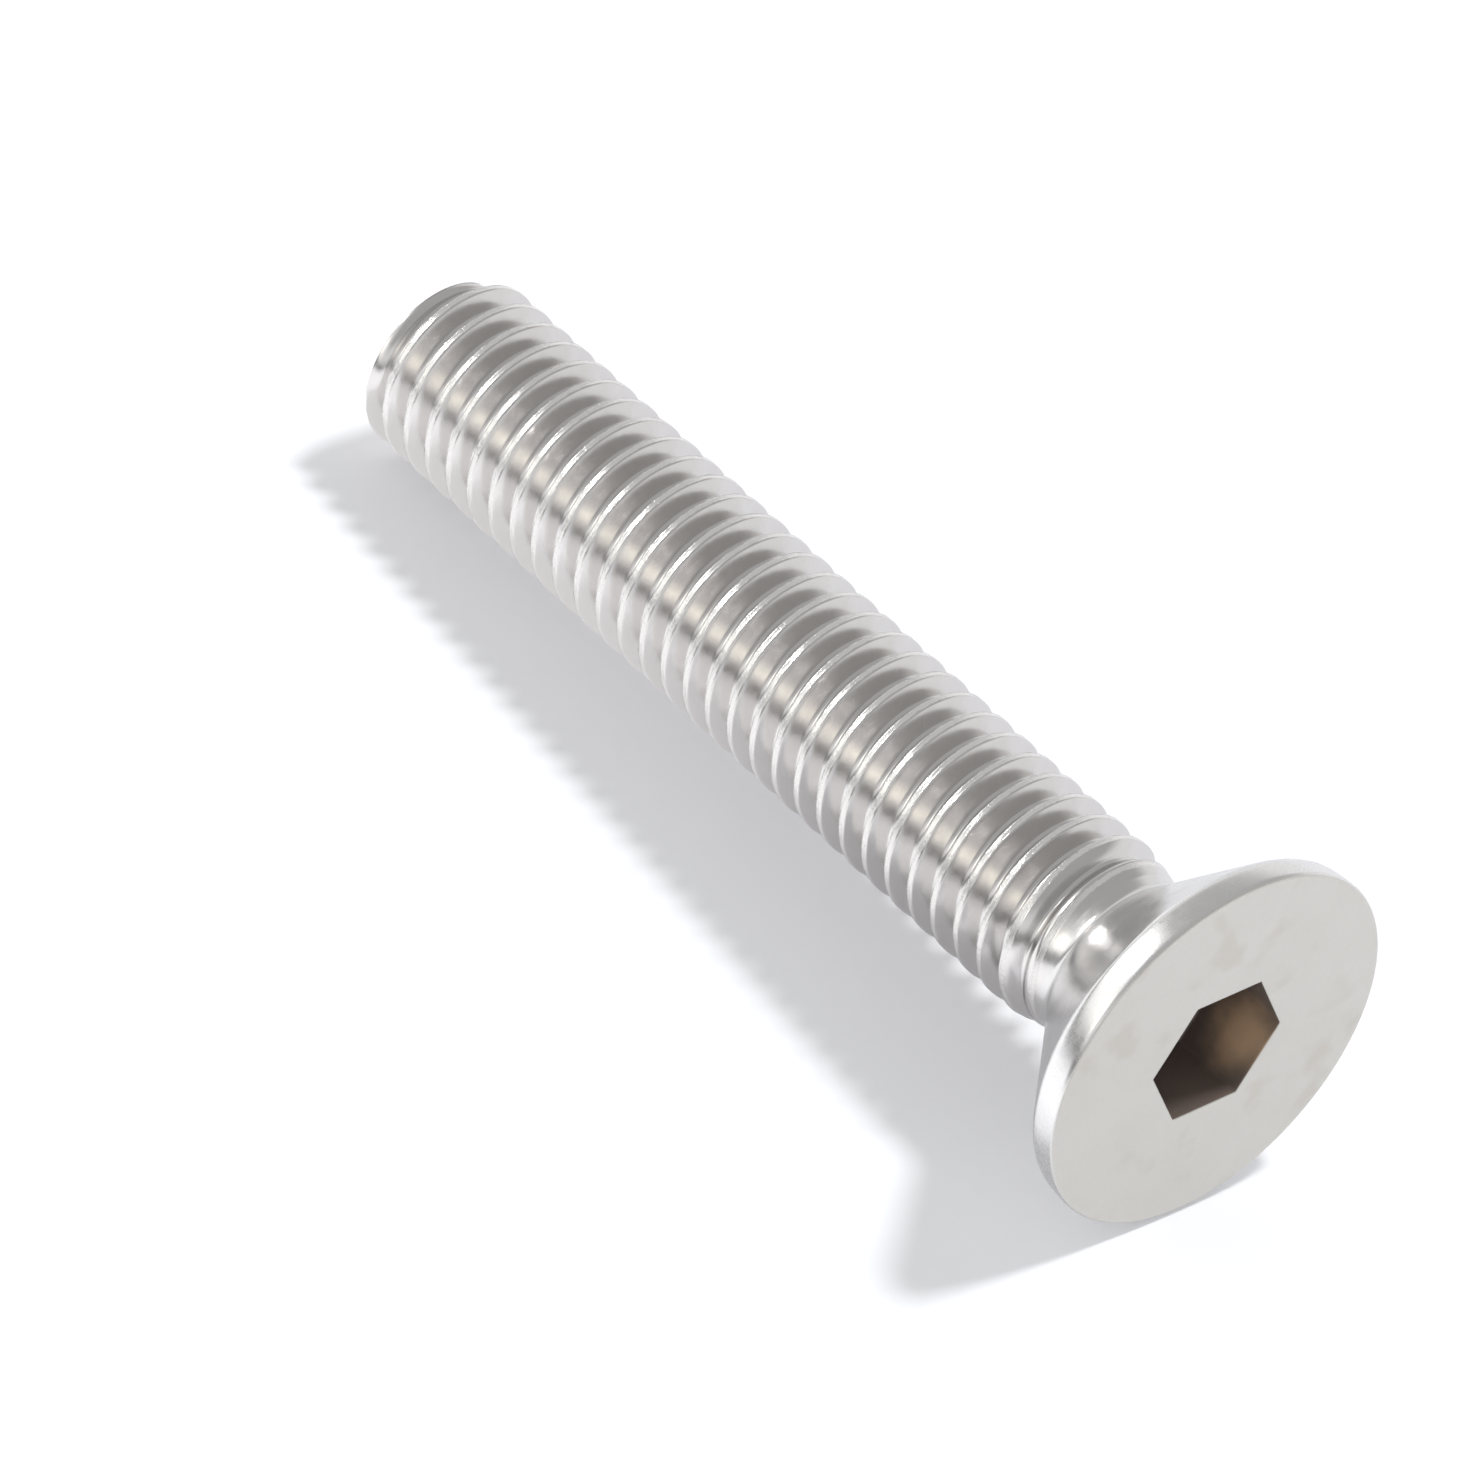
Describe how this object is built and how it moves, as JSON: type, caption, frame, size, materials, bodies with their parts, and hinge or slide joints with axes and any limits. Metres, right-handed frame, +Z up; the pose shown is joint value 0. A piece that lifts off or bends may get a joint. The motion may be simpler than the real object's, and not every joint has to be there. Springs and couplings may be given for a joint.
{
  "type": "countersunk socket screw",
  "caption": "Countersunk screw with a hexagon socket, lying on its side: flat head, cone, short plain neck, coarse right-hand thread and chamfered tail.",
  "frame": {"origin": "centre of the bounding box's underside: the floor that the screw lies on", "axes": "+Z up; the screw's length runs along X with the head at +X; its axis dips about 5 degrees towards the tail, because it rests on the head's land and on the thread's last crest"},
  "size_m": [0.0356, 0.0116, 0.0117],
  "materials": {
    "steel": "satin, plain stainless steel with no coating"
  },
  "bodies": {
    "root": {"screw": "steel"}
  },
  "joints": []
}
